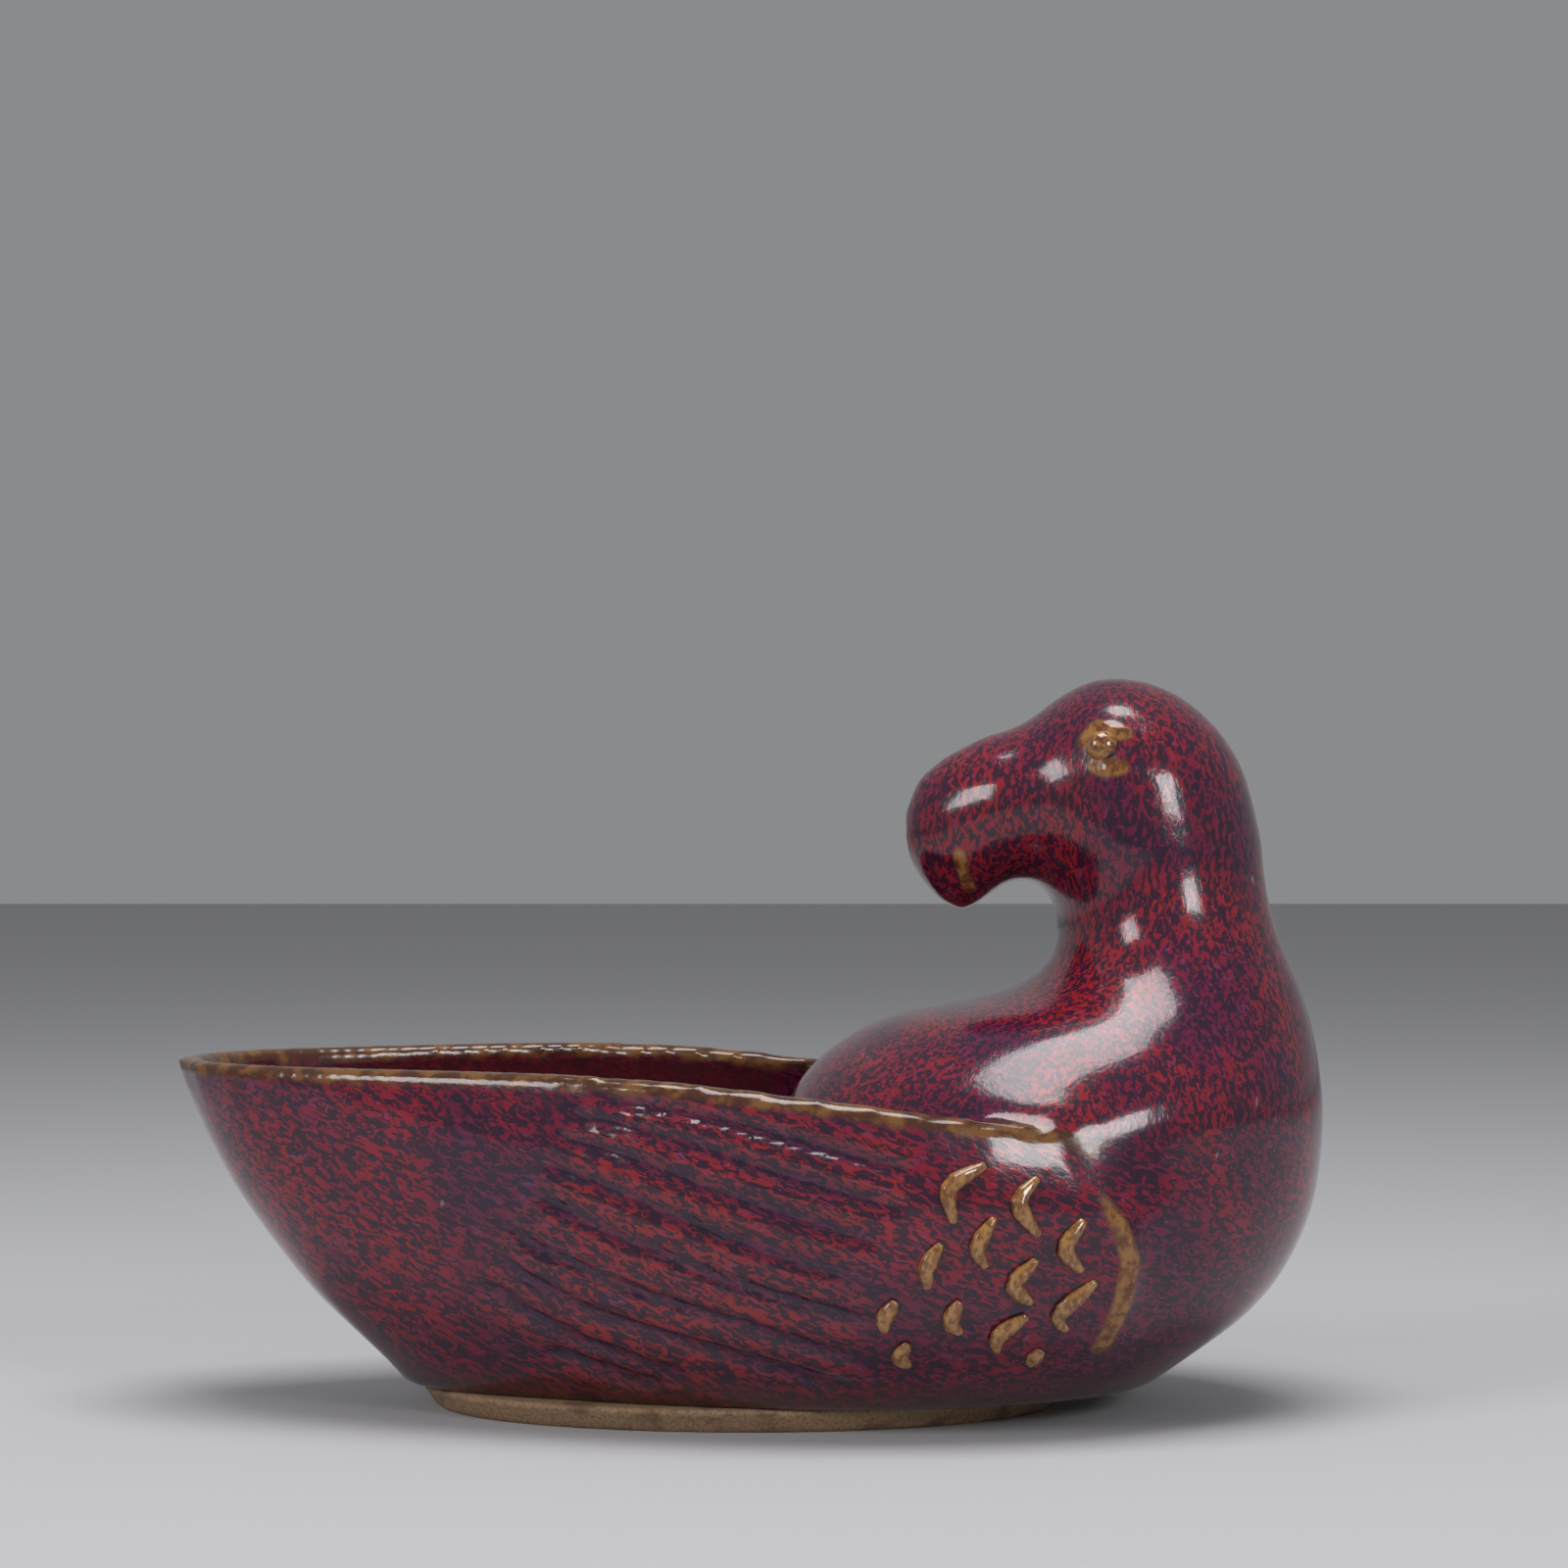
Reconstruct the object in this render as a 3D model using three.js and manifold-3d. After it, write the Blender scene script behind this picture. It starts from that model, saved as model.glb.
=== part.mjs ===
import * as THREE from 'three';
import { mergeVertices } from 'three/addons/utils/BufferGeometryUtils.js';
import Module from 'manifold-3d';

// A parrot-shaped brush washer of glazed stoneware. Millimetres, +Z up.
// +X points to the breast and -X to the tail, and the foot stands on z = 0.

const wasm = await Module();
wasm.setup();

// Driving sizes of the basin, which is the bird's wings and tail
const tailReach = 95.5;
const breastReach = 95.3;
const halfBeam = 55;
const rimHeight = 57.6;
const wall = 4;
const floorThickness = 4;
const clearance = 0.3;
const rimGap = 0.8;

// The bare foot that the washer stands on
const footHeight = 4;
const footWall = 7;
const footTailReach = 52;
const footBreastReach = 50;
const footHalfWidth = 34;
const footFlare = 3;

// The vent under the body, which lets the air out of the hollow breast in the kiln
const ventRadius = 3;

// The neck and the head
const headCrown = 120.4;

// Relief on the sides and the head
const feathersPerSide = 12;
const featherWidth = 2.6;
const ridgeWidth = 3;
const lidWidth = 2.2;
const eyeDiameter = 4.6;
const cutLength = 400;

// Colours of the thick red glaze, the thin golden glaze and the bare clay
const glazeRed = 0x5a1420;
const glazeGold = 0xa8742c;
const eyeAmber = 0x8a4a12;
const bareClay = 0x9a7656;

// The outlines of the back, head and relief were measured on a bird of these sizes: its reach to the tail and to
// the breast, its half width, its rim and its crown. They stretch with the driving sizes.
const measuredSizes = [95.5, 95.3, 55, 57.6, 120.4];
const [measuredTail, measuredBreast, measuredBeam, measuredRim, measuredCrown] = measuredSizes;

function along(x) {
  return x * (x < 0 ? tailReach / measuredTail : breastReach / measuredBreast);
}

function across(y) {
  return y * halfBeam / measuredBeam;
}

function up(z) {
  if (z < measuredRim) return z * rimHeight / measuredRim;
  return rimHeight + (z - measuredRim) * (headCrown - rimHeight) / (measuredCrown - measuredRim);
}

const seamX = along(55);
const beakRoot = along(50);
const neckTop = up(84);
const ventX = along(30);

// Value of a table of [position, value] rows at a position, in straight steps
function read(table, position) {
  const last = table.length - 1;
  if (position <= table[0][0]) return table[0][1];
  if (position >= table[last][0]) return table[last][1];
  const next = table.findIndex((row) => row[0] > position);
  const [from, to] = [table[next - 1], table[next]];
  return from[1] + (to[1] - from[1]) * (position - from[0]) / (to[0] - from[0]);
}

// Height of the rim: level over the tail, falling to the breast
const rimShares = [[-1, 1], [-0.37, 1], [-0.16, 0.986], [0.02, 0.957], [0.35, 0.885], [0.5, 0.845],
  [0.61, 0.8], [1, 0.8]];

function rimAt(x) {
  return rimHeight * read(rimShares, x / (x < 0 ? tailReach : breastReach));
}

// How far the hull reaches to the tail, the breast and the side at each share of the rim's height
const firstShare = footHeight / rimHeight;
const tailShares = [[firstShare, 0.595], [0.16, 0.653], [0.23, 0.698], [0.33, 0.763], [0.47, 0.829],
  [0.63, 0.9], [0.74, 0.936], [0.85, 0.969], [1, 1]];
const breastShares = [[firstShare, 0.69], [0.16, 0.749], [0.23, 0.795], [0.33, 0.865], [0.47, 0.925],
  [0.63, 0.966], [0.74, 0.985], [0.85, 0.996], [1, 1]];
const sideShares = [[firstShare, 0.67], [0.16, 0.755], [0.23, 0.815], [0.33, 0.9], [0.47, 0.965],
  [0.63, 0.995], [0.74, 1], [0.85, 0.985], [1, 0.945]];
const widestShare = 0.16;
const tailPinch = 0.13;
const ringSteps = 44;

// A closed outline that is round at the front and drawn to a blunt point at the back
function egg(back, front, half, widest, pinch, angle) {
  const forward = Math.cos(angle);
  const reach = forward > 0 ? front - widest : widest - back;
  const waist = forward > 0 ? 1 : 1 - pinch * Math.sin(2 * angle) ** 2;
  return new THREE.Vector2(widest + reach * forward, half * Math.sin(angle) * waist);
}

// One ring of the hull at a share of the rim's height, grown outwards by a distance
function hullRing(share, grow, lift = 0) {
  const ring = [];
  for (let step = 0; step < ringSteps; step += 1) {
    const point = egg(
      -tailReach * read(tailShares, share) - grow,
      breastReach * read(breastShares, share) + grow,
      halfBeam * read(sideShares, share) + grow,
      breastReach * widestShare,
      tailPinch,
      2 * Math.PI * step / ringSteps,
    );
    ring.push(new THREE.Vector3(point.x, point.y, share * rimAt(point.x) + lift));
  }
  return ring;
}

// Half the hull's width at a place on its side
function hullHalfWidth(x, z) {
  const share = z / rimAt(x);
  const widest = breastReach * widestShare;
  const end = x > widest ? breastReach * read(breastShares, share) : -tailReach * read(tailShares, share);
  const angle = Math.acos(Math.min(1, Math.abs((x - widest) / (end - widest))));
  const waist = x > widest ? 1 : 1 - tailPinch * Math.sin(2 * angle) ** 2;
  return halfBeam * read(sideShares, share) * Math.sin(angle) * waist;
}

// Solid through a stack of rings with equal counts of points, closed by a fan at each end
function loft(rings) {
  const count = rings[0].length;
  const middle = (ring) => ring.reduce((sum, point) => sum.add(point), new THREE.Vector3()).divideScalar(count);
  const points = [...rings.flat(), middle(rings[0]), middle(rings[rings.length - 1])];
  const index = [];
  for (let step = 0; step < count; step += 1) {
    const next = (step + 1) % count;
    index.push(points.length - 2, next, step);
    const top = (rings.length - 1) * count;
    index.push(points.length - 1, top + step, top + next);
    for (let level = 0; level < rings.length - 1; level += 1) {
      const low = level * count;
      const high = low + count;
      index.push(low + step, low + next, high + next, low + step, high + next, high + step);
    }
  }
  const geometry = new THREE.BufferGeometry().setFromPoints(points);
  geometry.setIndex(index);
  return geometry;
}

// A closed geometry as a solid that can be joined and cut
function solid(geometry) {
  const bare = geometry.clone();
  bare.deleteAttribute('normal');
  bare.deleteAttribute('uv');
  const merged = mergeVertices(bare, 1e-4);
  const made = new wasm.Manifold(new wasm.Mesh({
    numProp: 3,
    vertProperties: new Float32Array(merged.attributes.position.array),
    triVerts: new Uint32Array(merged.index.array),
  }));
  return made;
}

// The same solid with the very short edges that a grazing cut leaves drawn together
function welded(made, reach) {
  const { vertProperties, triVerts } = made.getMesh();
  const geometry = new THREE.BufferGeometry();
  geometry.setAttribute('position', new THREE.BufferAttribute(new Float32Array(vertProperties), 3));
  geometry.setIndex(new THREE.BufferAttribute(new Uint32Array(triVerts), 1));
  const merged = mergeVertices(geometry, reach);
  const corners = Array.from(merged.index.array);
  const kept = [];
  for (let corner = 0; corner < corners.length; corner += 3) {
    const [a, b, c] = corners.slice(corner, corner + 3);
    if (a !== b && b !== c && c !== a) kept.push(a, b, c);
  }
  merged.setIndex(kept);
  return solid(merged);
}

// A box between two corners
function boxSolid(low, high) {
  const size = new THREE.Vector3().subVectors(high, low);
  const box = new THREE.BoxGeometry(size.x, size.y, size.z);
  box.translate((low.x + high.x) / 2, (low.y + high.y) / 2, (low.z + high.z) / 2);
  return solid(box);
}

const V = (x, y, z) => new THREE.Vector3(x, y, z);
const leftHalf = boxSolid(V(-cutLength, 0, -cutLength), V(cutLength, cutLength, cutLength));
const rightHalf = boxSolid(V(-cutLength, -cutLength, -cutLength), V(cutLength, 0, cutLength));
const behindSeam = boxSolid(V(-cutLength, -cutLength, -cutLength), V(seamX, cutLength, cutLength));
const beforeSeam = boxSolid(V(seamX, -cutLength, -cutLength), V(cutLength, cutLength, cutLength));

const parrot = new THREE.Group();

// The largest of a solid's bodies, without the slivers that a cut can leave beside it
function mainBody(made) {
  const bodies = made.decompose();
  return bodies.reduce((best, one) => (one.volume() > best.volume() ? one : best));
}

// Puts a solid in the group as its own named mesh
function addPiece(name, made, colour, roughness) {
  const { vertProperties, triVerts } = mainBody(made).getMesh();
  const geometry = new THREE.BufferGeometry();
  geometry.setAttribute('position', new THREE.BufferAttribute(new Float32Array(vertProperties), 3));
  geometry.setIndex(new THREE.BufferAttribute(new Uint32Array(triVerts), 1));
  geometry.computeVertexNormals();
  const mesh = new THREE.Mesh(geometry, new THREE.MeshStandardMaterial({ color: colour, roughness, metalness: 0 }));
  mesh.name = name;
  parrot.add(mesh);
}

// Foot ring: the bare band of clay, its top flat against the basin's underside
function footRing(z, flare, grow) {
  const ring = [];
  for (let step = 0; step < ringSteps; step += 1) {
    const angle = 2 * Math.PI * step / ringSteps;
    const back = -footTailReach - flare - grow;
    const point = egg(back, footBreastReach + flare + grow, footHalfWidth + flare + grow, 0, 0, angle);
    ring.push(V(point.x, point.y, z));
  }
  return ring;
}
const footOutside = solid(loft([footRing(0, 0, 0), footRing(footHeight, footFlare, 0)]));
const footInside = solid(loft([footRing(-1, 0, -footWall), footRing(footHeight + 1, 0, -footWall)]));
addPiece('foot_ring', footOutside.subtract(footInside), bareClay, 0.85);

// Basin: the hull of the wings and tail, hollow down to its floor and joined down the middle
const floorTop = footHeight + floorThickness;
const floorShare = floorTop / rimHeight;
const hullShares = tailShares.map((row) => row[0]);
const insideShares = [floorShare, ...hullShares.filter((share) => share > floorShare + 0.02)];

function hollowHull(inset) {
  const rings = insideShares.map((share) => hullRing(share, -inset));
  const flatFloor = rings[0].map((point) => V(point.x, point.y, floorTop));
  const above = hullRing(1, -inset, wall);
  return solid(loft([flatFloor, ...rings.slice(1), above]));
}

const hullBottom = hullRing(hullShares[0], 0).map((point) => V(point.x, point.y, footHeight));
const hullOutside = solid(loft([hullBottom, ...hullShares.slice(1).map((share) => hullRing(share, 0))]));
const vent = new THREE.CylinderGeometry(ventRadius, ventRadius, 2 * floorTop, 16);
vent.rotateX(Math.PI / 2);
vent.translate(ventX, 0, floorTop);
const basin = hullOutside.subtract(hollowHull(wall)).subtract(solid(vent));
addPiece('basin_left', basin.intersect(leftHalf), glazeRed, 0.15);
addPiece('basin_right', basin.intersect(rightHalf), glazeRed, 0.15);

// Back and neck: one hollow form whose rings are [height, back x, breast x, half width]
const bodyRings = [
  [8.3, 7, 84, 34], [20, 5, 92, 40], [35, 4.5, 96, 44], [44, 5, 96, 46.5],
  [50, 6.3, 95.4, 46], [54, 8.6, 95, 43.5], [58, 12.2, 94.5, 40.5], [61.5, 16.8, 93.9, 37.5],
  [64.3, 22.2, 93.4, 34.5], [66, 30.5, 93, 32], [67.6, 39.5, 92.3, 29.8], [70.2, 46.3, 91.2, 27.6],
  [73, 50, 89.8, 25.6], [76.5, 51.8, 88.3, 23.8], [80, 51.9, 87, 22.4], [84, 51, 86.3, 21.3],
].map(([z, back, front, half]) => [up(z), along(back), along(front), across(half)]);
bodyRings[0][0] = floorTop + clearance;
const bodyWidest = 0.46;

function bodyRing([z, back, front, half], inset, drop) {
  const ring = [];
  for (let step = 0; step < ringSteps; step += 1) {
    const widest = back + (front - back) * bodyWidest;
    const point = egg(back + inset, front - inset, half - inset, widest, 0, 2 * Math.PI * step / ringSteps);
    ring.push(V(point.x, point.y, z - drop));
  }
  return ring;
}

// Everything that is above the rim by the gap at the rim
function aboveRim() {
  const pastEnd = 1.1;
  const outline = new THREE.Shape();
  outline.moveTo(-tailReach * pastEnd, cutLength);
  const edges = [-pastEnd, ...rimShares.slice(1, -1).map((row) => row[0]), pastEnd];
  edges.forEach((share) => {
    const x = share * (share < 0 ? tailReach : breastReach);
    outline.lineTo(x, rimAt(x) + rimGap);
  });
  outline.lineTo(breastReach * pastEnd, cutLength);
  const slab = new THREE.ExtrudeGeometry(outline, { depth: cutLength, bevelEnabled: false });
  slab.rotateX(Math.PI / 2);
  slab.translate(0, cutLength / 2, 0);
  return solid(slab);
}

const topRing = bodyRings[bodyRings.length - 1];
const bodyOutside = solid(loft(bodyRings.map((ring) => bodyRing(ring, 0, 0))));
const bodyInside = solid(loft([
  ...bodyRings.map((ring) => bodyRing(ring, wall, wall)),
  bodyRing(topRing, wall, -wall),
]));
const roomInHull = hollowHull(wall + clearance).add(aboveRim());
const body = bodyOutside.subtract(bodyInside).intersect(roomInHull);
addPiece('back_mound', body.intersect(behindSeam), glazeRed, 0.15);
const neck = body.intersect(beforeSeam);
addPiece('neck_shell_left', neck.intersect(leftHalf), glazeRed, 0.15);
addPiece('neck_shell_right', neck.intersect(rightHalf), glazeRed, 0.15);

// Head: a hollow crown whose rings are [height, face x, nape x, half width]
const headRings = [
  [84, 51, 86.3, 21.3], [88, 48.5, 85.6, 20.9], [92, 46.5, 85, 20.6], [98, 45, 83.8, 20.3],
  [104, 44.8, 82.2, 19.6], [108, 45, 80.4, 18.5], [112, 45.6, 77.6, 16.4], [115.2, 47.5, 74.4, 13.4],
  [117.8, 50.5, 70.8, 9.6], [119.6, 54.5, 66.6, 5.6], [120.4, 59, 62.5, 1.6],
].map(([z, face, nape, half]) => [up(z), along(face), along(nape), across(half)]);

function headRing([z, face, nape, half], grow, lift) {
  const inner = grow < 0 ? Math.max(face - grow, beakRoot - grow) : face - grow;
  return bodyRing([z, inner, Math.max(nape + grow, inner + 1), Math.max(half + grow, 0.5)], 0, -lift);
}

function headHalfWidth(x, z) {
  const column = (place) => headRings.map((ring) => [ring[0], ring[place]]);
  const [face, nape, half] = [read(column(1), z), read(column(2), z), read(column(3), z)];
  const widest = face + (nape - face) * bodyWidest;
  const reach = x > widest ? nape - widest : widest - face;
  return half * Math.sqrt(Math.max(0, 1 - ((x - widest) / reach) ** 2));
}

const headOutside = solid(loft(headRings.map((ring) => headRing(ring, 0, 0))));
const hollowRings = headRings.filter((ring) => ring[3] > wall * 2);
const headInside = solid(loft([
  headRing([neckTop - wall, ...headRings[0].slice(1)], -wall, 0),
  ...hollowRings.map((ring) => headRing(ring, -wall, -wall / 2)),
]));
const behindBeak = boxSolid(V(beakRoot, -cutLength, -cutLength), V(cutLength, cutLength, cutLength));
addPiece('head_shell', headOutside.subtract(headInside).intersect(behindBeak), glazeRed, 0.15);

// Beak: rings from its root to its hooked tip, each [top x, top z, under x, under z, half width]
const beakRings = [
  [50, 116.2, 50, 86, 14.2], [46.8, 114, 46.5, 88.1, 14.2], [43.4, 112.2, 44, 87.9, 13.8],
  [38.3, 110.5, 41.8, 86.7, 12.8], [32.4, 107.4, 40.6, 84.6, 11.3], [28.2, 103.8, 39.9, 83.5, 10],
  [26, 98.5, 39.1, 82.6, 8.7], [26.2, 92.6, 38, 81.7, 7.4], [28, 86.8, 37, 81.2, 5.8],
  [30.6, 83, 36, 80.9, 3.8], [33.4, 81.2, 35.2, 80.8, 1.4],
].map(([topX, topZ, underX, underZ, half]) => [along(topX), up(topZ), along(underX), up(underZ), across(half)]);
beakRings[0][0] -= clearance;
beakRings[0][2] -= clearance;
const beakSteps = 24;
const beak = solid(loft(beakRings.map(([topX, topZ, underX, underZ, half]) => {
  const ring = [];
  for (let step = 0; step < beakSteps; step += 1) {
    const angle = 2 * Math.PI * step / beakSteps;
    const toTop = (1 + Math.cos(angle)) / 2;
    const x = underX + (topX - underX) * toTop;
    const z = underZ + (topZ - underZ) * toTop;
    ring.push(V(x, half * Math.sin(angle), z));
  }
  return ring;
})));
addPiece('beak', beak, glazeRed, 0.15);

// A ridge of clay along points [x, z] on a side surface, full in the middle and fine at its ends
const ridgeSteps = 7;
const ridgeSides = 6;
const ridgeTaper = 0.42;
const shortestEdge = 0.06;

function ridgeOn(halfWidthAt, side, points, width, cutAway) {
  const places = points.map(([x, z]) => [along(x), up(z)]);
  const onSurface = places.map(([x, z]) => V(x, side * halfWidthAt(x, z), z));
  const curve = new THREE.CatmullRomCurve3(onSurface);
  const rings = [];
  for (let step = 0; step <= ridgeSteps; step += 1) {
    const share = step / ridgeSteps;
    const onCurve = curve.getPointAt(share);
    const centre = V(onCurve.x, side * halfWidthAt(onCurve.x, onCurve.z), onCurve.z);
    const tangent = curve.getTangentAt(share);
    const outward = V(0, side, 0);
    const sideways = new THREE.Vector3().crossVectors(tangent, outward).normalize();
    const radius = width / 2 * (ridgeTaper + (1 - ridgeTaper) * Math.sin(Math.PI * share));
    const ring = [];
    for (let turn = 0; turn < ridgeSides; turn += 1) {
      const angle = 2 * Math.PI * turn / ridgeSides;
      const point = centre.clone().addScaledVector(sideways, radius * Math.cos(angle));
      ring.push(point.addScaledVector(outward, radius * Math.sin(angle)));
    }
    rings.push(ring);
  }
  let made = solid(loft(rings));
  if (made.volume() < 0) made = solid(loft(rings.reverse()));
  return welded(mainBody(made.subtract(cutAway)), shortestEdge);
}

// Covert feathers: crescents of clay on each wing, as [top, middle, bottom] places on the side
const coverts = [
  [[36.5, 44.1], [30.8, 40.5], [31.7, 35.5]], [[44.7, 41.9], [41.7, 38.2], [44.9, 33.2]],
  [[37.9, 35.9], [35.3, 31.4], [36.7, 28.4]], [[52, 35.2], [49, 30.9], [51.8, 27.3]],
  [[29.6, 32], [27.5, 28.6], [27.7, 25.2]], [[44.5, 29.2], [41, 25.4], [44, 22.4]],
  [[54, 25.4], [48.1, 20], [49.7, 17.6]], [[32.6, 22.8], [31.3, 20], [32.9, 17.7]],
  [[22.6, 22.9], [21, 20.4], [21.1, 18.1]], [[43.1, 20.2], [38.8, 17.2], [38.8, 14.3]],
  [[24.6, 15.9], [23.6, 14], [25.1, 12]], [[45.8, 14.2], [44.6, 13], [44, 11.6]],
];
const shoulder = [[54.3, 40], [57.9, 34.1], [59.7, 28.6], [58.6, 21.8], [56.1, 15.4], [53.8, 12.7]];
const grownHull = solid(loft([
  hullRing(hullShares[0], clearance, -1),
  ...hullShares.map((share) => hullRing(share, clearance)),
]));
const grownHead = solid(loft(headRings.map((ring) => headRing(ring, clearance, 0))));
const upperLid = [[53.4, 108.6], [56.8, 112.2], [62.8, 111]];
const lowerLid = [[54.5, 106.6], [57.6, 105.6], [61.9, 105.9]];
const eye = [along(57.3), up(109.1)];
const eyeFlatness = 0.7;

for (const [sideName, side] of [['left', 1], ['right', -1]]) {
  coverts.slice(0, feathersPerSide).forEach((points, place) => {
    const number = String(place + 1).padStart(2, '0');
    const feather = ridgeOn(hullHalfWidth, side, points, featherWidth, grownHull);
    addPiece(`covert_feather_${sideName}_${number}`, feather, glazeGold, 0.25);
  });
  addPiece(`shoulder_ridge_${sideName}`, ridgeOn(hullHalfWidth, side, shoulder, ridgeWidth, grownHull), glazeGold, 0.25);
  addPiece(`upper_lid_${sideName}`, ridgeOn(headHalfWidth, side, upperLid, lidWidth, grownHead), glazeRed, 0.2);
  addPiece(`lower_lid_${sideName}`, ridgeOn(headHalfWidth, side, lowerLid, lidWidth, grownHead), glazeRed, 0.2);
  const pellet = new THREE.SphereGeometry(eyeDiameter / 2, 16, 10);
  pellet.scale(1, eyeFlatness, 1);
  pellet.translate(eye[0], side * headHalfWidth(...eye), eye[1]);
  addPiece(`eye_pellet_${sideName}`, solid(pellet).subtract(grownHead), eyeAmber, 0.1);
}

export default parrot;
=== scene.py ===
# %% [markdown]
# # A parrot-shaped brush washer
# A glazed stoneware bowl in the shape of a bird. The wings and tail make the basin, and the head turns back
# over the water. The clay was luted together from several members, and then one thick glaze ran over all
# the seams. The frame holds those members, and this script gives them the unbroken skin of the real object.

import bmesh
import bpy
import numpy as np
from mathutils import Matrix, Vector
from mathutils.bvhtree import BVHTree


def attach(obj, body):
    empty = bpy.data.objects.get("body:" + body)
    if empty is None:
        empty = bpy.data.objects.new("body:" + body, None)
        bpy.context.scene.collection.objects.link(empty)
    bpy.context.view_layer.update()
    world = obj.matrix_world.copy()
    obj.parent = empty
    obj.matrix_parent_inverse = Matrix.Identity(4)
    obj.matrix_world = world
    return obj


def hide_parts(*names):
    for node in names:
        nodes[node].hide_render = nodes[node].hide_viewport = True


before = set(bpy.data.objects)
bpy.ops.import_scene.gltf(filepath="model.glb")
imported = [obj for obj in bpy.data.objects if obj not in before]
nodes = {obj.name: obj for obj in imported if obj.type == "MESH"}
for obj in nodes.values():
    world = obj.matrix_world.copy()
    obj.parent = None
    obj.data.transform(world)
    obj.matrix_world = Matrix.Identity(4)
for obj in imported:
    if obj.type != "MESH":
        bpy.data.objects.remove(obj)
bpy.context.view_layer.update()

MM = 0.001
scene = bpy.context.scene

# %% [markdown]
# ## The glazed skin
# On the real bird no seam shows, because slip and glaze fill every join. A boolean union of the members would
# keep a hard corner at each join. So a copy of each member is merged and puffed out by a quarter of a
# millimetre, until neighbours touch. A voxel remesh then makes one skin of them, and smoothing melts the
# corners, as the glaze does.

# %% Copies of the clay members
doubles_apart = 0.005 * MM


def merged_copy(node, grow):
    """A copy of a node's mesh with its doubles merged, its surface moved out by a distance."""
    shape = bmesh.new()
    shape.from_mesh(nodes[node].data)
    bmesh.ops.remove_doubles(shape, verts=shape.verts, dist=doubles_apart)
    shape.normal_update()
    for vert in shape.verts:
        vert.co += vert.normal * grow
    mesh = bpy.data.meshes.new(node + "_copy")
    shape.to_mesh(mesh)
    shape.free()
    return mesh


def new_object(name, mesh):
    """An object of the scene with a mesh."""
    thing = bpy.data.objects.new(name, mesh)
    scene.collection.objects.link(thing)
    return thing


def joined_members(name, members, grow):
    """One object that holds a grown copy of each member."""
    shape = bmesh.new()
    for member in members:
        shape.from_mesh(merged_copy(member, grow))
    mesh = bpy.data.meshes.new(name)
    shape.to_mesh(mesh)
    shape.free()
    return new_object(name, mesh)


# %% One skin from overlapping members
melt_factor = 0.5


def apply_modifiers(thing):
    """Makes the mesh that the modifiers give the object's own."""
    depsgraph = bpy.context.evaluated_depsgraph_get()
    made = bpy.data.meshes.new_from_object(thing.evaluated_get(depsgraph))
    thing.modifiers.clear()
    thing.data = made


def remeshed(thing, voxel, melt_rounds):
    """The object as one skin of even quads, smoothed a number of times."""
    remesh = thing.modifiers.new("skin", "REMESH")
    remesh.mode = "VOXEL"
    remesh.voxel_size = voxel
    smooth = thing.modifiers.new("melt", "SMOOTH")
    smooth.factor = melt_factor
    smooth.iterations = melt_rounds
    apply_modifiers(thing)
    thing.data.shade_smooth()
    return thing


# %% The skin of the body
sides = ("left", "right")
body_members = ["basin_left", "basin_right", "back_mound", "neck_shell_left", "neck_shell_right"]
body_members += ["head_shell", "beak"]
body_members += [f"{part}_{side}" for part in ("upper_lid", "lower_lid", "shoulder_ridge") for side in sides]
skin_voxel = 1.08 * MM
touching = 0.25 * MM
skin_melt = 5
bird = remeshed(joined_members("glazed_bird", body_members, touching), skin_voxel, skin_melt)
print("skin vertices:", len(bird.data.vertices))

# %% [markdown]
# ## Places on the bird
# The carving and the glaze both need to know where they are: on the outside of a wing, near the rim, on the
# neck. Places painted by hand could not be made again by a script. So each one is worked out, as a number
# from 0 to 1 for every point of the skin, from where the point lies and which way it faces. Distances to the
# frame's own basin and back tell the wing from the mound that rises behind the rim.

# %% Coordinates of the skin in millimetres
count = len(bird.data.vertices)


def read_points(field):
    """A value of three parts for every point of the skin, as rows."""
    values = np.empty(count * 3, np.float32)
    bird.data.vertices.foreach_get(field, values)
    return values.reshape(-1, 3)


coords = read_points("co") / MM
normals = read_points("normal")
# The three columns are views of coords, so they follow each move that is made in place
x, y, z = coords.T
print("skin from", coords.min(axis=0).round(1), "to", coords.max(axis=0).round(1))


# %% Soft steps and distances
def fade(value, low, high):
    """0 at low and 1 at high, with soft ends."""
    share = np.clip((value - low) / (high - low), 0, 1)
    return share * share * (3 - 2 * share)


def distances(members):
    """Distance in millimetres from each point of the skin to the nearest of some frame nodes."""
    shape = bmesh.new()
    for member in members:
        shape.from_mesh(nodes[member].data)
    nearest = BVHTree.FromBMesh(shape)
    shape.free()
    return np.array([nearest.find_nearest(Vector(place))[3] for place in coords * MM]) / MM


# %% The wing's side
# Each pair is where a fade starts and where it ends
nearer_mound = (-0.3, 0.6)
facing_out = (0.05, 0.45)
off_middle = (12, 24)
below_rim = (0.5, 4)
wing_front = (58, 64)
# The rim as [x, height]: level over the tail, falling to the shoulder
rim_line = [(-96, 57.6), (-35, 57.6), (-15, 56.8), (2, 55.1), (33, 51.0), (48, 48.7), (58, 46.1), (96, 46.1)]
rim_z = np.interp(x, *zip(*rim_line))
on_mound = fade(distances(["basin_left", "basin_right"]) - distances(["back_mound"]), *nearer_mound)
outside = fade(normals[:, 1] * np.sign(y), *facing_out) * fade(np.abs(y), *off_middle)
on_hull = fade(rim_z - z, *below_rim)
wing = outside * on_hull * (1 - fade(x, *wing_front)) * (1 - on_mound)
print("wing points:", int((wing > 0.5).sum()))

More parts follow.
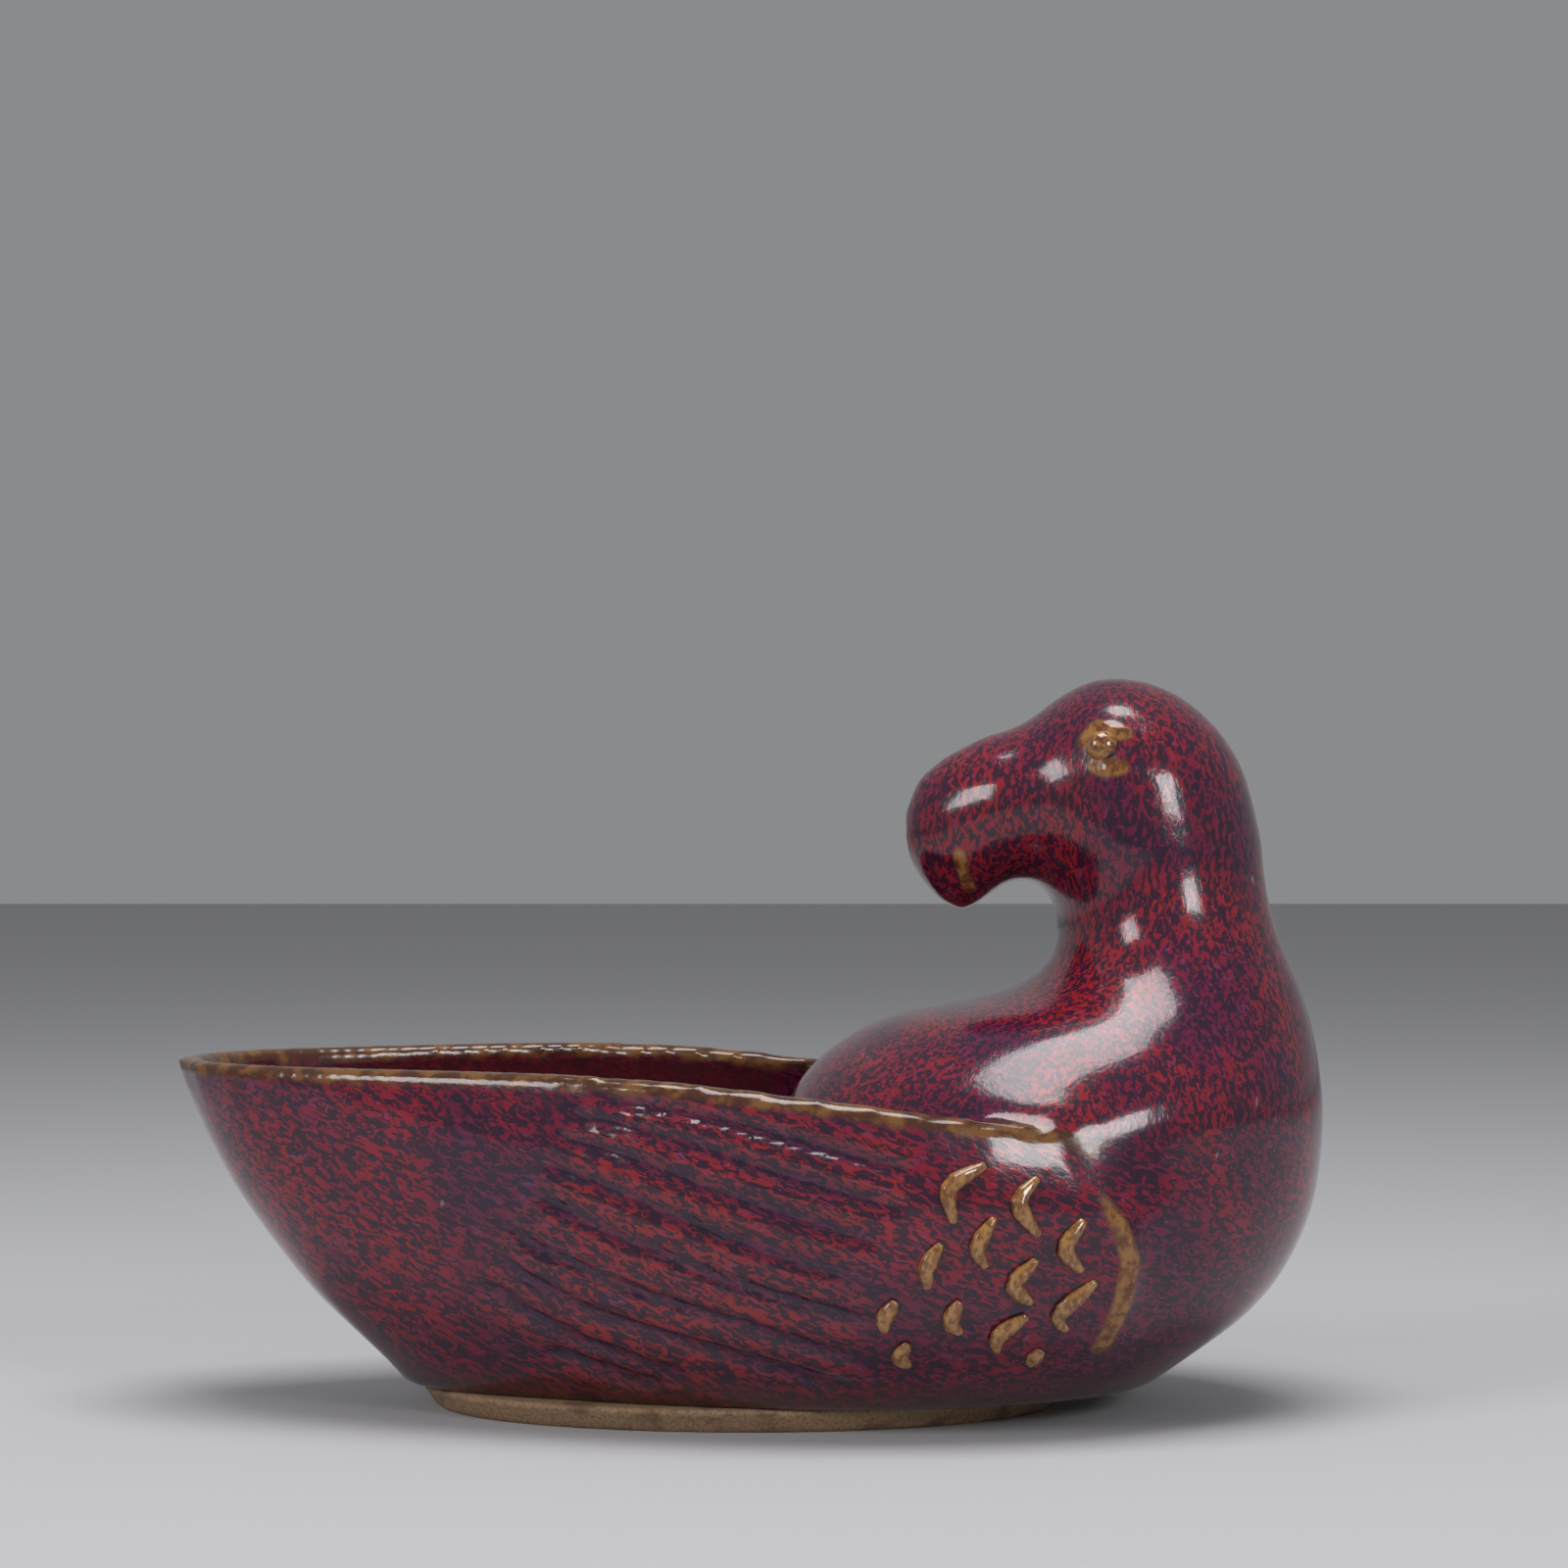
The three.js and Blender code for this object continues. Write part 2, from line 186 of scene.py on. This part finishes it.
# %% [markdown]
# ## Evening the clay
# A potter's wet fingers leave no step where the breast runs up into the neck, and no stairs along the rim. A
# remesh leaves both. Smoothing everything would wear the beak and the rim down, so there are two passes.
# Steps in and then slightly further out even the whole skin without shrinking it. Many plain steps then relax
# only the joins and the broad walls, where there is no detail to lose.

# %% Where the skin is relaxed
# Each place is bounded along x and in height, in millimetres
seam_band = fade(x, 50, 60) * fade(z, 34, 43) * (1 - fade(z, 60, 70))
crease = fade(x, 40, 45) * (1 - fade(x, 53, 58)) * fade(z, 82, 88)
neck_join = fade(x, 46, 50) * fade(z, 74, 79) * (1 - fade(z, 88, 93))
off_ridges = np.clip(1 - fade(x, 48, 51) + fade(x, 61, 64), 0, 1)
walls = fade(rim_z - z, 4, 9) * fade(z, 5, 8) * off_ridges
shoulders = fade(z - rim_z, 3, 8) * (1 - fade(z, 84, 92))
crease_share = 0.5
broad_share = 0.7
relaxed = seam_band + crease_share * crease + neck_join + broad_share * walls + broad_share * shoulders
relaxed = np.clip(relaxed, 0, 1)
print("relaxed points:", int((relaxed > 0.1).sum()))

# %% Even the skin, then relax those places
edges = np.empty(len(bird.data.edges) * 2, np.int32)
bird.data.edges.foreach_get("vertices", edges)
edges = edges.reshape(-1, 2)
neighbours = np.bincount(edges.ravel(), minlength=count)[:, None]


def to_neighbours():
    """From each point to the middle of its neighbours."""
    total = np.zeros_like(coords)
    for axis in range(3):
        total[:, axis] = np.bincount(edges[:, 0], coords[edges[:, 1], axis], count)
        total[:, axis] += np.bincount(edges[:, 1], coords[edges[:, 0], axis], count)
    return total / neighbours - coords


even_rounds = 45
relax_rounds = 110
step_in = 0.5
step_out = 0.52
for _ in range(even_rounds):
    coords += to_neighbours() * step_in
    coords -= to_neighbours() * step_out
for _ in range(relax_rounds):
    coords += to_neighbours() * step_in * relaxed[:, None]
print("highest point after evening:", round(float(z.max()), 2), "mm")

# %% [markdown]
# ## Carved flight feathers
# The potter drew long strokes in the leather-hard wall, from under the shoulder back to the tail. A bump in
# the material would look flat against the light, and booleans would leave sharp cuts. So each stroke is a
# short line of places on the wing's side. Points near it sink, and the clay between two strokes swells.

# %% The strokes, as [x, height] on the side
strokes = [
    [(-42, 31), (-37, 26), (-27, 20.8), (-13.5, 16.2), (-3.4, 13.6), (4.5, 11.5), (11.5, 9.4), (18.5, 7.4)],
    [(-40.5, 35.5), (-35, 31), (-24, 26), (-10, 21.2), (2, 17.6), (12, 14.6), (20, 12.6)],
    [(-36, 40.5), (-29, 36.4), (-18, 31.6), (-6, 27), (6, 23), (16, 20.2), (20.5, 19)],
    [(-33, 44.6), (-25, 41.4), (-14, 37), (-2, 32.4), (10, 28.6), (18, 26.4)],
    [(-30.5, 48.4), (-22, 46), (-10, 42), (2, 37.8), (14, 34), (23, 31.4)],
    [(-29.5, 51.6), (-20, 50), (-8, 47), (4, 43.2), (16, 39.6), (25, 37)],
    [(-26, 53.6), (-14, 53), (-2, 50.6), (10, 47.4), (20, 44.6), (27, 42.4)],
    [(-43, 25), (-36, 19.6), (-26, 14.6), (-16, 11), (-8, 9)],
    [(-33, 13.6), (-26, 11), (-19, 8.8), (-13, 7.4)],
]
side_places = coords[:, [0, 2]]
print("strokes on each wing:", len(strokes))


def bell(away, width):
    """1 on a line and near 0 at twice a width from it."""
    return np.exp(-((away / width) ** 2))


def distance_to(line):
    """How far each point of the skin lies from a line, seen from the side, and its share along the line."""
    best = np.full(count, np.inf)
    along = np.zeros(count)
    last = len(line) - 1
    for place, (start, end) in enumerate(zip(line, line[1:])):
        start, end = np.array(start, float), np.array(end, float)
        step = end - start
        share = np.clip((side_places - start) @ step / (step @ step), 0, 1)
        away = np.linalg.norm(side_places - start - share[:, None] * step, axis=1)
        nearer = away < best
        best[nearer] = away[nearer]
        along[nearer] = ((place + share) / last)[nearer]
    return best, along


# %% Carve the wings
stroke_width = 1.25
stroke_depth = 1.3
swell_width = 4.5
swell_height = 0.25
stroke_start = (0, 0.12)
stroke_end = (0.85, 1)
hand_waver = 0.2
groove = np.zeros(count)
fan = np.zeros(count)
for line in strokes:
    away, along = distance_to(line)
    strength = fade(along, *stroke_start) * (1 - fade(along, *stroke_end))
    groove = np.maximum(groove, bell(away, stroke_width) * strength)
    fan = np.maximum(fan, bell(away, swell_width) * strength)
# Two crossing waves press the tool harder in some places, as a hand does
wobble = 1 - hand_waver + hand_waver * np.sin(x * 0.9 + z * 1.7) * np.sin(x * 0.37 - z * 0.6)
groove *= wing * wobble
ridge = np.clip(fan * wing - groove, 0, 1)
coords -= normals * (groove * stroke_depth - ridge * swell_height)[:, None]
print("deepest groove share:", round(float(groove.max()), 2))

# %% Raise the line of the mouth
mouth = [(34.3, 91.6), (34.9, 89.4), (35.4, 87.6), (36.2, 86.1)]
mouth_width = 0.9
mouth_height = 0.5
beak_side = (3, 5)
mouth_away, _ = distance_to(mouth)
mouth_mark = bell(mouth_away, mouth_width) * fade(np.abs(y), *beak_side)
coords += normals * (mouth_mark * mouth_height)[:, None]
bird.data.vertices.foreach_set("co", (coords * MM).astype(np.float32).ravel())
bird.data.update()
print("points on the mouth line:", int((mouth_mark > 0.5).sum()))

# %% [markdown]
# ## Where the glaze runs thin
# A flambe glaze is crimson where it lies thick and brown where it slides off an edge. The rim, the shoulder
# ridge, the lids and the mouth line are such edges. A pointiness node would find every bump, also those of
# the remesh. So each edge is a mask along its own line, kept as an attribute that the material reads.


# %% Masks of thin glaze, grooves, inside and neck
def tapered_line(line, width):
    """1 on a line of places, fading beside it and towards both of its ends."""
    away, along = distance_to(line)
    return bell(away, width) * np.sin(np.pi * along) ** 0.5


rim_width = 2.5
shoulder_width = 1.5
lid_width = 1.45
rim_end = (52, 60)
head_side = (7, 10)
facing_in = (-0.1, 0.3)
mound_foot = (2, 8)
above_rim = (-3, 6)
shoulder = [(54.3, 40), (57.9, 34.1), (59.7, 28.6), (58.6, 21.8), (56.1, 15.4), (53.8, 12.7)]
upper_lid = [(53.4, 108.6), (56.8, 112.2), (62.8, 111)]
lower_lid = [(54.5, 106.6), (57.6, 105.6), (61.9, 105.9)]
rim_mask = bell(z - rim_z, rim_width) * (1 - fade(x, *rim_end)) * (1 - on_mound)
shoulder_mark = tapered_line(shoulder, shoulder_width) * outside * on_hull
lid_mark = np.maximum(tapered_line(upper_lid, lid_width), tapered_line(lower_lid, lid_width))
lid_mark *= fade(np.abs(y), *head_side)
masks = {
    "rim": rim_mask,
    "gold": np.clip(np.maximum.reduce([shoulder_mark, lid_mark, mouth_mark]), 0, 1),
    "groove": groove,
    "ridge": ridge,
    "inside": fade(-normals[:, 1] * np.sign(y), *facing_in) * on_hull * (1 - fade(x, *mound_foot)),
    "neck": fade(z - rim_z, *above_rim),
}
for name, values in masks.items():
    layer = bird.data.attributes.new(name, "FLOAT", "POINT")
    layer.data.foreach_set("value", values.astype(np.float32))
    print("points in mask", name, int((values > 0.5).sum()))

# %% [markdown]
# ## Shader arithmetic
# A glaze is mostly arithmetic on noise and masks. Wiring each Math node by hand takes a line for every link.
# This small class wraps a socket instead, so that a sum on masks reads as a sum, and adds the nodes itself.


# %% Sockets with arithmetic
class Wire:
    """A socket of a material's node tree, which can be added, multiplied and mixed."""

    def __init__(self, tree, socket):
        self.tree = tree
        self.socket = socket

    def math(self, operation, *values):
        return add_node(self.tree, "ShaderNodeMath", {"operation": operation}, dict(enumerate(values)))

    def __add__(self, other):
        return self.math("ADD", self, other)

    def __sub__(self, other):
        return self.math("SUBTRACT", self, other)

    def __mul__(self, other):
        return self.math("MULTIPLY", self, other)

    def __rsub__(self, other):
        return self.math("SUBTRACT", other, self)

    __radd__ = __add__
    __rmul__ = __mul__

    def between(self, low, high):
        """0 at low and 1 at high, with soft ends, also where high is the smaller of the two."""
        settings = {"interpolation_type": "SMOOTHSTEP"}
        inputs = {"Value": self, "From Min": low, "From Max": high}
        return add_node(self.tree, "ShaderNodeMapRange", settings, inputs)


def feed(tree, node, inputs):
    """Links each wire to its socket of a node, and sets the sockets that get plain values."""
    for key, value in inputs.items():
        if isinstance(value, Wire):
            tree.links.new(value.socket, node.inputs[key])
        else:
            node.inputs[key].default_value = value


def add_node(tree, kind, settings=None, inputs=None, output=0):
    """Adds a node, sets it, feeds its sockets and returns one of its outputs."""
    node = tree.nodes.new(kind)
    for key, value in (settings or {}).items():
        setattr(node, key, value)
    feed(tree, node, inputs or {})
    return Wire(tree, node.outputs[output])


# %% Noise, masks and mixed colours
# The colour sockets of a Mix node share their names with its other sockets, so they are known by number
mix_factor, mix_first, mix_second, mix_output = 0, 6, 7, 2


def colour(red, green, blue):
    """An opaque colour."""
    return (red, green, blue, 1)


def mix_colours(tree, share, first, second):
    """From the first colour to the second by a share."""
    inputs = {mix_factor: share, mix_first: first, mix_second: second}
    return add_node(tree, "ShaderNodeMix", {"data_type": "RGBA"}, inputs, mix_output)


def noise(tree, sizes, turn, detail, rough=0.6, warp=0.0):
    """Noise with blotches of three sizes in millimetres along axes that are turned about Y."""
    places = add_node(tree, "ShaderNodeTexCoord", output="Object")
    scale = [size * MM for size in sizes]
    inputs = {"Vector": places, "Rotation": (0, turn, 0), "Scale": scale}
    drawn = add_node(tree, "ShaderNodeMapping", {"vector_type": "TEXTURE"}, inputs)
    values = {"Vector": drawn, "Scale": 1.0, "Detail": detail, "Roughness": rough, "Distortion": warp}
    return add_node(tree, "ShaderNodeTexNoise", None, values)


def mask(tree, name):
    """A mask that is kept as an attribute."""
    return add_node(tree, "ShaderNodeAttribute", {"attribute_name": name}, output="Fac")


def start_material(name):
    """A new material, its node tree and its shader."""
    material = bpy.data.materials.new(name)
    material.use_nodes = True
    tree = material.node_tree
    return material, tree, tree.nodes["Principled BSDF"]


# %% [markdown]
# ## The red and purple glaze
# Drops of dark blue and lilac run through a crimson ground. An image would need a layout of the whole skin,
# and the drops would stretch at its seams, so the glaze is noise in the object's own space. It is drawn out
# downwards on the neck, and along the carved strokes on the wing. Two noises make each kind of streak, and
# the neck mask chooses between them.

# %% Streaks of the glaze
glaze, tree, shader = start_material("flambe_glaze")
stroke_turn = 0.42
speck = 0.85
neck_mask = mask(tree, "neck")


def streaks(neck_sizes, wing_sizes, detail, rough, neck_warp, wing_warp):
    """Noise that runs down the neck and along the wing's strokes."""
    on_neck = noise(tree, neck_sizes, 0.0, detail, rough, neck_warp)
    on_wing = noise(tree, wing_sizes, stroke_turn, detail, rough, wing_warp)
    return on_neck * neck_mask + on_wing * (1 - neck_mask)


specks = streaks((speck, speck, speck * 2.1), (speck * 2.6, speck * 1.6, speck), 3.0, 0.62, 0.6, 0.8)
lilac = streaks((1.6, 1.6, 3.6), (4.4, 3, 1.5), 4.0, 0.7, 1.0, 1.0)
clouds = noise(tree, (22, 22, 28), 0.0, 3.0, 0.5, 0.5)
print("nodes in the streaks:", len(tree.nodes))

# %% The glaze where it lies thick
crimson, plum = colour(0.27, 0.010, 0.024), colour(0.12, 0.008, 0.042)
flame_red = colour(0.31, 0.024, 0.014)
lilac_blue = colour(0.13, 0.065, 0.20)
groove_blue = colour(0.03, 0.012, 0.055)
night_blue = colour(0.014, 0.009, 0.026)
pooled_red = colour(0.075, 0.014, 0.012)
flame_on_ridges, flame_on_neck = 0.75, 0.35
lilac_strength = 0.55
groove_strength = 0.8
speck_strength = 0.9
pooled_strength = 0.72
ground = mix_colours(tree, clouds.between(0.35, 0.68), crimson, plum)
orange = mask(tree, "ridge") * flame_on_ridges + neck_mask * clouds.between(0.62, 0.4) * flame_on_neck
warm = mix_colours(tree, orange, ground, flame_red)
violet = mix_colours(tree, lilac.between(0.55, 0.72) * lilac_strength, warm, lilac_blue)
deep = mix_colours(tree, mask(tree, "groove") * groove_strength, violet, groove_blue)
dark = specks.between(0.555, 0.475) * speck_strength
speckled = mix_colours(tree, dark, deep, night_blue)
interior = mix_colours(tree, mask(tree, "inside") * pooled_strength, speckled, pooled_red)
print("nodes in the thick glaze:", len(tree.nodes))

# %% The glaze where it runs thin
burnt_brown, honey_brown = colour(0.075, 0.026, 0.012), colour(0.19, 0.082, 0.024)
pale_gold, dark_gold = colour(0.32, 0.15, 0.042), colour(0.13, 0.042, 0.014)
rim_noise = noise(tree, (4, 4, 3), 0.0, 3.0)
rim_share = (mask(tree, "rim") * (rim_noise * 1.1 + 0.4)).between(0.2, 0.72)
rim_brown = mix_colours(tree, rim_noise.between(0.42, 0.62), burnt_brown, honey_brown)
browned = mix_colours(tree, rim_share, interior, rim_brown)
gold_noise = noise(tree, (1.6, 1.6, 2.2), 0.0, 4.0, 0.6)
gold_share = (mask(tree, "gold") * (gold_noise + 0.6)).between(0.2, 0.62)
gold_brown = mix_colours(tree, gold_noise.between(0.38, 0.62), pale_gold, dark_gold)
gilded = mix_colours(tree, gold_share, browned, gold_brown)
print("nodes with the thin glaze:", len(tree.nodes))

# %% Painted shadow near the foot, the glaze's skips and its gloss
# Painted shadow: the skin is darkened towards a dark brown below a height of 11 mm, most of all from 4 mm
# down, where the body curves in to the foot
painted_foot_shadow = colour(0.075, 0.035, 0.03)
skip_grey = colour(0.28, 0.25, 0.30)
foot_shadow_band = (11 * MM, 4 * MM)
foot_shadow_strength = 0.75
skip_strength = 0.5
object_place = add_node(tree, "ShaderNodeTexCoord", output="Object")
height = add_node(tree, "ShaderNodeSeparateXYZ", None, {"Vector": object_place}, "Z")
# Painted shadow, darkest next to the foot
foot_shadowed = mix_colours(tree, height.between(*foot_shadow_band) * foot_shadow_strength, gilded, painted_foot_shadow)
skips = noise(tree, (4.2, 4.2, 6.5), 0.0, 3.0, 0.5)
skip_share = skips.between(0.735, 0.765) * skip_strength
finished = mix_colours(tree, skip_share, foot_shadowed, skip_grey)
ripple = add_node(tree, "ShaderNodeBump", None, {"Strength": 0.12, "Distance": 0.4 * MM, "Height": specks})
feed(tree, shader, {
    "Base Color": finished,
    "Roughness": 0.12 + dark * 0.05 + skip_share * 0.3,
    "Normal": ripple,
    "IOR": 1.46,
    "Coat Weight": 0.35,
    "Coat Roughness": 0.05,
})
bird.data.materials.append(glaze)
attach(bird, "root")
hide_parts(*body_members)
print("nodes in the whole glaze:", len(tree.nodes))

# %% [markdown]
# ## Covert feathers
# Twelve crescents of slip stand on each wing's shoulder, and the glaze slides off their crests to a golden
# brown. They could be one more mask on the skin, but their edges are crisper than its voxels. So each is the
# frame's own crescent, grown until it sits in the skin and softened by a finer remesh.

# %% Golden glaze
gold_glaze, tree, shader = start_material("thin_golden_glaze")
grain = noise(tree, (0.9, 0.9, 1.4), 0.0, 4.0, 0.6)
streak = noise(tree, (3, 3, 3), 0.0, 3.0, 0.5)
streak_strength = 0.4
bright_gold, brown_gold = colour(0.40, 0.20, 0.055), colour(0.19, 0.07, 0.018)
red_streak = colour(0.09, 0.02, 0.02)
grained = mix_colours(tree, grain.between(0.4, 0.62), bright_gold, brown_gold)
feed(tree, shader, {
    "Base Color": mix_colours(tree, streak.between(0.55, 0.7) * streak_strength, grained, red_streak),
    "Roughness": 0.13 + grain * 0.08,
    "Coat Weight": 0.8,
    "Coat Roughness": 0.06,
})
print("nodes in the golden glaze:", len(tree.nodes))

# %% Crescents and other small pieces
relief_growth = 0.42 * MM
relief_voxel = 0.22 * MM
feather_melt = 14


def small_piece(node, melt_rounds, material):
    """A grown and softened copy of one node, with its glaze."""
    piece = remeshed(joined_members(node + "_glazed", [node], relief_growth), relief_voxel, melt_rounds)
    piece.data.materials.append(material)
    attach(piece, "root")
    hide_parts(node)
    return piece


for node in sorted(name for name in nodes if name.startswith("covert_feather")):
    feather = small_piece(node, feather_melt, gold_glaze)
print("points on the last feather:", len(feather.data.vertices))

# %% [markdown]
# ## Eyes
# A pellet of clay is pressed on each side of the head, and an amber glaze pools darker in patches on it. A
# new sphere would have to be fitted to the head. The frame's pellet is cut to it already, so a copy of that
# one gets the same growth as the feathers, and a little less melting.

# %% Amber eyes
amber, tree, shader = start_material("amber_glaze")
pool = noise(tree, (1.4, 1.4, 1.4), 0.0, 3.0)
clear_amber, pooled_amber = colour(0.36, 0.17, 0.045), colour(0.12, 0.035, 0.012)
feed(tree, shader, {
    "Base Color": mix_colours(tree, pool.between(0.42, 0.62), clear_amber, pooled_amber),
    "Roughness": 0.12 + pool * 0.06,
    "Coat Weight": 0.7,
    "Coat Roughness": 0.04,
})
eye_melt = 8
for side in sides:
    eye = small_piece(f"eye_pellet_{side}", eye_melt, amber)
print("points on an eye:", len(eye.data.vertices))

# %% [markdown]
# ## The bare foot
# The glaze was wiped from the foot before firing, so the buff clay shows, rough and a little stained. The
# frame's ring is already its size, so it isn't grown. A remesh gives it points to soften its edges with.

# %% Foot of bare clay
clay, tree, shader = start_material("bare_buff_clay")
sand = noise(tree, (0.6, 0.6, 0.6), 0.0, 5.0, 0.7)
stain = noise(tree, (8, 8, 4), 0.0, 3.0, 0.5)
buff, dark_buff = colour(0.40, 0.26, 0.15), colour(0.24, 0.14, 0.08)
stain_brown = colour(0.11, 0.055, 0.035)
stain_strength = 0.6
sandy = mix_colours(tree, sand.between(0.4, 0.66), buff, dark_buff)
grit = add_node(tree, "ShaderNodeBump", None, {"Strength": 0.5, "Distance": 0.3 * MM, "Height": sand})
feed(tree, shader, {
    "Base Color": mix_colours(tree, stain.between(0.5, 0.66) * stain_strength, sandy, stain_brown),
    "Roughness": 0.78 + sand * 0.15,
    "Normal": grit,
})
foot_growth = 0.0
foot_voxel = 0.7 * MM
foot_melt = 3
foot = remeshed(joined_members("foot_ring_clay", ["foot_ring"], foot_growth), foot_voxel, foot_melt)
foot.data.materials.append(clay)
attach(foot, "root")
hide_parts("foot_ring")
print("points on the foot:", len(foot.data.vertices))

# %% [markdown]
# ## Stage, light and camera
# A glossy glaze shows the lamps as bright shapes, so a few soft lamps say more than an even sky. One hangs
# above, and one stands to each side in front of the bird. The floor is pale, and the camera is level with the
# beak, as in the photograph.

# %% Floor
floor_reach = 3.0
floor_grey = colour(0.52, 0.52, 0.54)
floor_shape = bmesh.new()
bmesh.ops.create_grid(floor_shape, x_segments=1, y_segments=1, size=floor_reach)
floor_mesh = bpy.data.meshes.new("floor")
floor_shape.to_mesh(floor_mesh)
floor_shape.free()
floor = new_object("floor", floor_mesh)
paper, tree, shader = start_material("pale_floor")
feed(tree, shader, {"Base Color": floor_grey, "Roughness": 0.9})
floor.data.materials.append(paper)
print("the floor reaches", floor_reach, "m to each side")

# %% Lights
light_target = Vector((0, 0, 50 * MM))
sky_grey = colour(0.75, 0.76, 0.78)
sky_strength = 0.34


def soft_light(name, place, size, power):
    """A square lamp at a place, turned to the bird."""
    lamp = bpy.data.lights.new(name, "AREA")
    lamp.size = size
    lamp.energy = power
    thing = new_object(name, lamp)
    thing.location = place
    thing.rotation_euler = (light_target - Vector(place)).to_track_quat("-Z", "Y").to_euler()


soft_light("top_light", (0.05, -0.1, 0.9), 0.5, 5.5)
soft_light("left_light", (-0.8, -0.7, 0.6), 0.4, 3.8)
soft_light("right_light", (0.7, -0.9, 0.5), 0.3, 3)
world = bpy.data.worlds.new("studio")
scene.world = world
world.use_nodes = True
feed(world.node_tree, world.node_tree.nodes["Background"], {"Color": sky_grey, "Strength": sky_strength})
print("lamps:", len(bpy.data.lights))

# %% Camera, placed so that the two rims lie as in the photograph
camera_place = (0.0055, -0.721, 0.1031)
lens_length = 99.3
sensor_width = 36
straight_back = Vector((0, 1, 0))
camera_data = bpy.data.cameras.new("camera")
camera_data.lens = lens_length
camera_data.sensor_width = sensor_width
camera = new_object("camera", camera_data)
camera.location = camera_place
camera.rotation_euler = straight_back.to_track_quat("-Z", "Y").to_euler()
scene.camera = camera
print("camera at", camera_place, "with a lens of", lens_length, "mm")
scene.view_settings.view_transform = "Standard"
